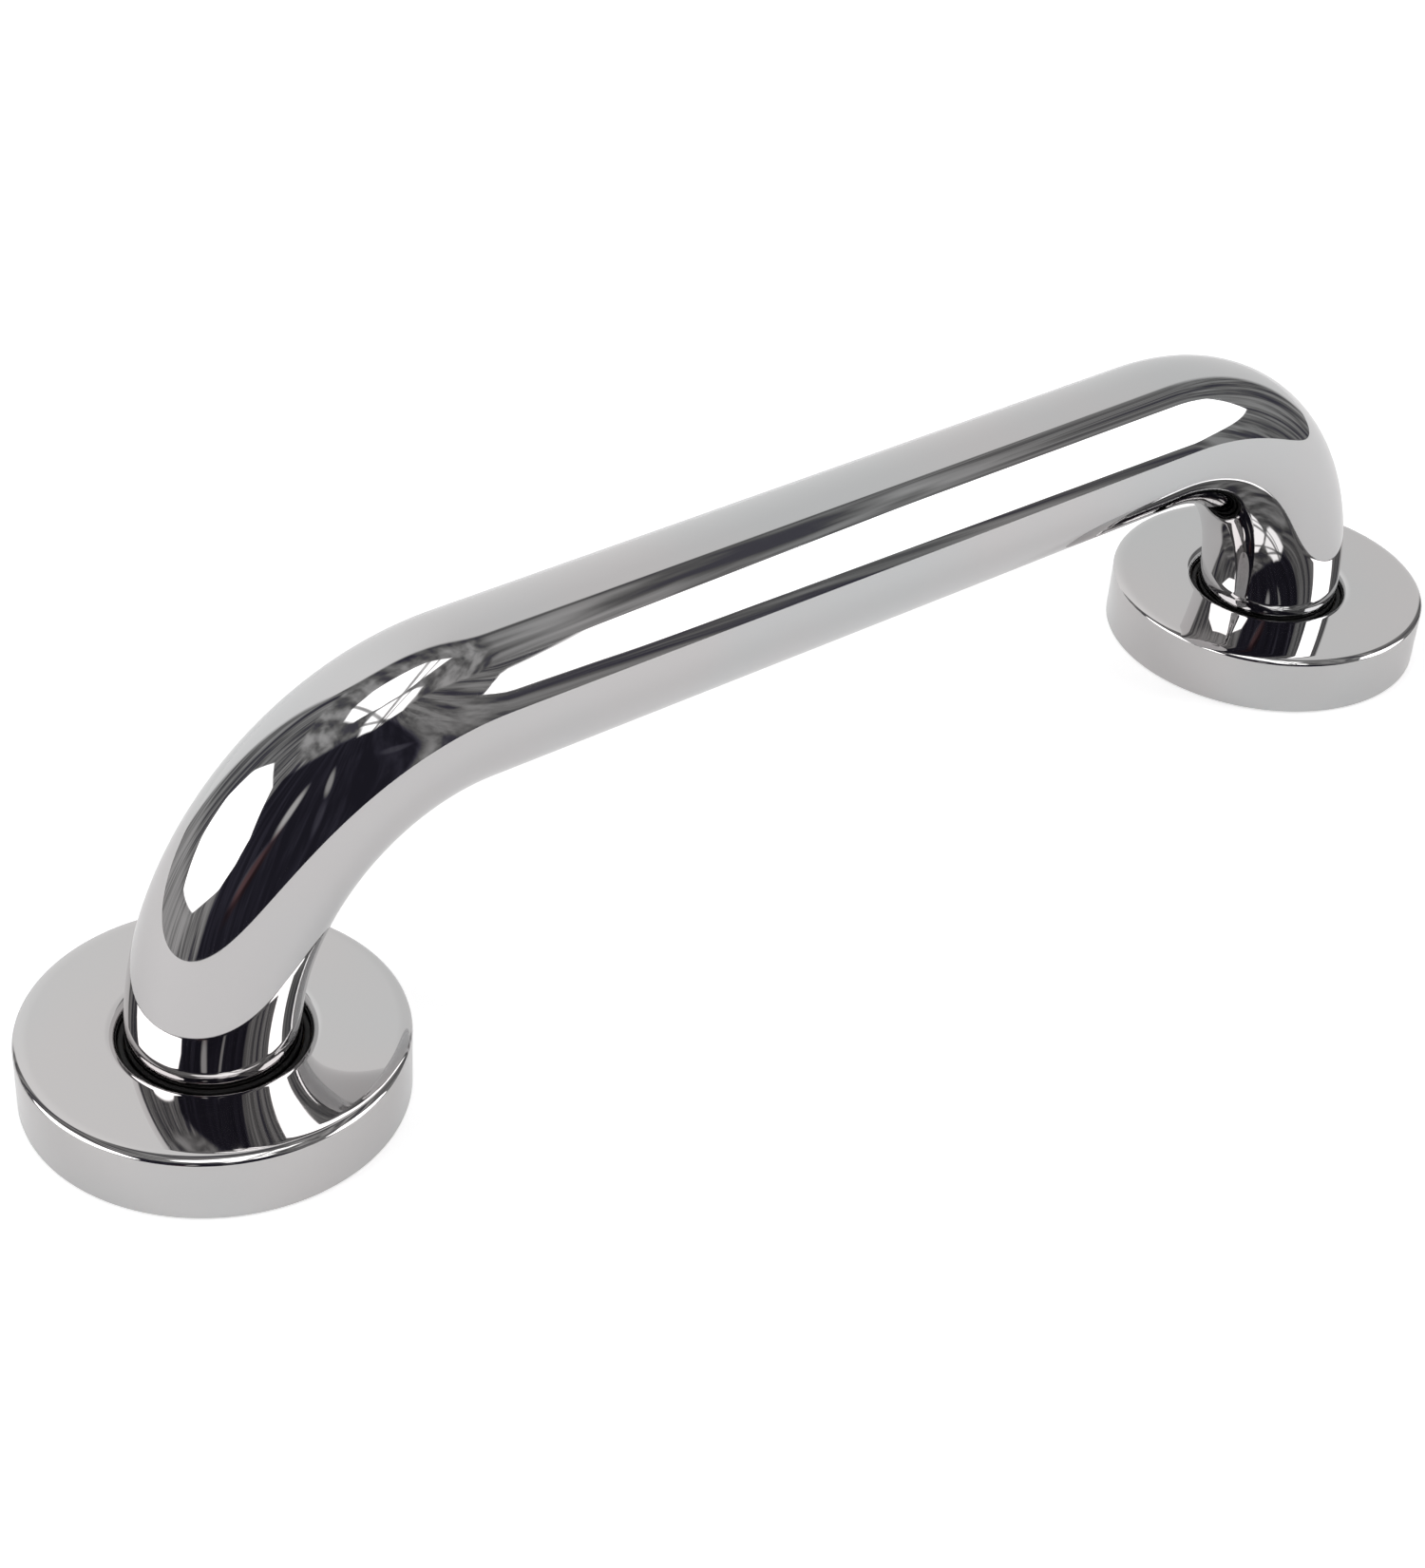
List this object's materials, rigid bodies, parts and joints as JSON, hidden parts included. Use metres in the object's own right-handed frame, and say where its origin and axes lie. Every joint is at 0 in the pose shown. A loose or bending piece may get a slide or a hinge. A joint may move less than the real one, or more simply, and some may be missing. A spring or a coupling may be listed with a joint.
{
  "type": "grab rail",
  "caption": "Straight grab rail: a polished stainless tube bent down at both ends onto screw-down feet, with round covers that slide up the legs to reach the screws.",
  "frame": {"origin": "on the wall plane, midway between the two feet", "axes": "+X along the bar from the left foot to the right foot, +Z out of the wall towards the bar, +Y across the bar"},
  "size_m": [0.419, 0.085, 0.0975],
  "materials": {
    "polished_tube": "mirror-polished stainless steel",
    "polished_cover": "mirror-polished pressed stainless steel",
    "satin_flange": "turned satin stainless steel",
    "weld_bead": "rippled weld, faintly heat-tinted",
    "gasket_rubber": "matt black rubber",
    "seal_rubber": "satin black rubber"
  },
  "bodies": {
    "rail": {"rail_tube": "polished_tube", "left_base_flange": "satin_flange", "right_base_flange": "satin_flange", "left_weld_bead": "weld_bead", "right_weld_bead": "weld_bead", "left_base_gasket": "gasket_rubber", "right_base_gasket": "gasket_rubber"},
    "left_seal": {"left_seal_ring": "seal_rubber"},
    "left_cover": {"left_cover": "polished_cover"},
    "right_seal": {"right_seal_ring": "seal_rubber"},
    "right_cover": {"right_cover": "polished_cover"}
  },
  "joints": [
    {"name": "left_cover_swing", "type": "hinge", "parent": "rail", "child": "left_seal", "pos_m": [-0.104, 0, 0.0155], "axis": [0, 1, 0], "range_deg": [0, 90]},
    {"name": "left_cover_lift", "type": "slide", "parent": "left_seal", "child": "left_cover", "axis": [0, 0, 1], "range_m": [0, 0.01]},
    {"name": "right_cover_swing", "type": "hinge", "parent": "rail", "child": "right_seal", "pos_m": [0.104, 0, 0.0155], "axis": [0, -1, 0], "range_deg": [0, 90]},
    {"name": "right_cover_lift", "type": "slide", "parent": "right_seal", "child": "right_cover", "axis": [0, 0, 1], "range_m": [0, 0.01]}
  ]
}
